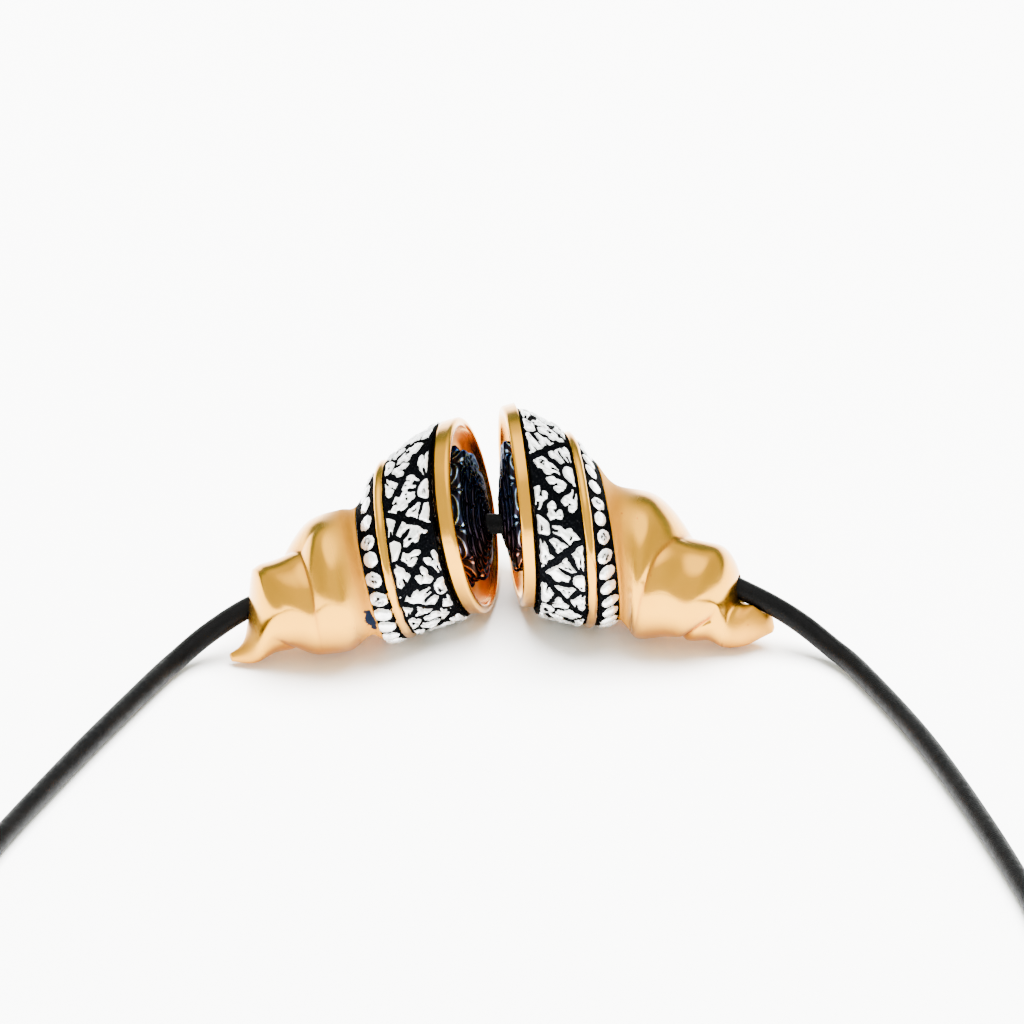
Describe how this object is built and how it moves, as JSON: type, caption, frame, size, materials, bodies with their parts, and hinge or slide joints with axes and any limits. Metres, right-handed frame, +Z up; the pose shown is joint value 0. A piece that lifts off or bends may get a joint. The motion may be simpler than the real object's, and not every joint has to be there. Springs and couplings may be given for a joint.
{
  "type": "snail pendant",
  "caption": "Pair of hollow snail-shell beads set mouth to mouth on a round leather cord, with gold-plated rims and spires, dark petal rosettes and silver flower bands.",
  "frame": {"origin": "middle of the two beads' box in plan, on the surface that they rest on", "axes": "+X along the two beads, towards the bead whose spire points that way; -Y towards the cord's loop; +Z up"},
  "size_m": [0.1341, 0.1598, 0.0257],
  "materials": {
    "gold_plate": "polished",
    "silver": "polished, black in the recesses",
    "black_silver": "blackened, bright at the edges",
    "leather": "satin"
  },
  "bodies": {
    "root": {"left_mouth_rim": "gold_plate", "left_rosette": "black_silver", "left_floral_band": "silver", "left_divider_ring": "gold_plate", "left_bead_row": "silver", "left_spire": "gold_plate", "right_mouth_rim": "gold_plate", "right_rosette": "black_silver", "right_floral_band": "silver", "right_divider_ring": "gold_plate", "right_bead_row": "silver", "right_spire": "gold_plate", "cord": "leather", "clasp": "gold_plate"}
  },
  "joints": []
}
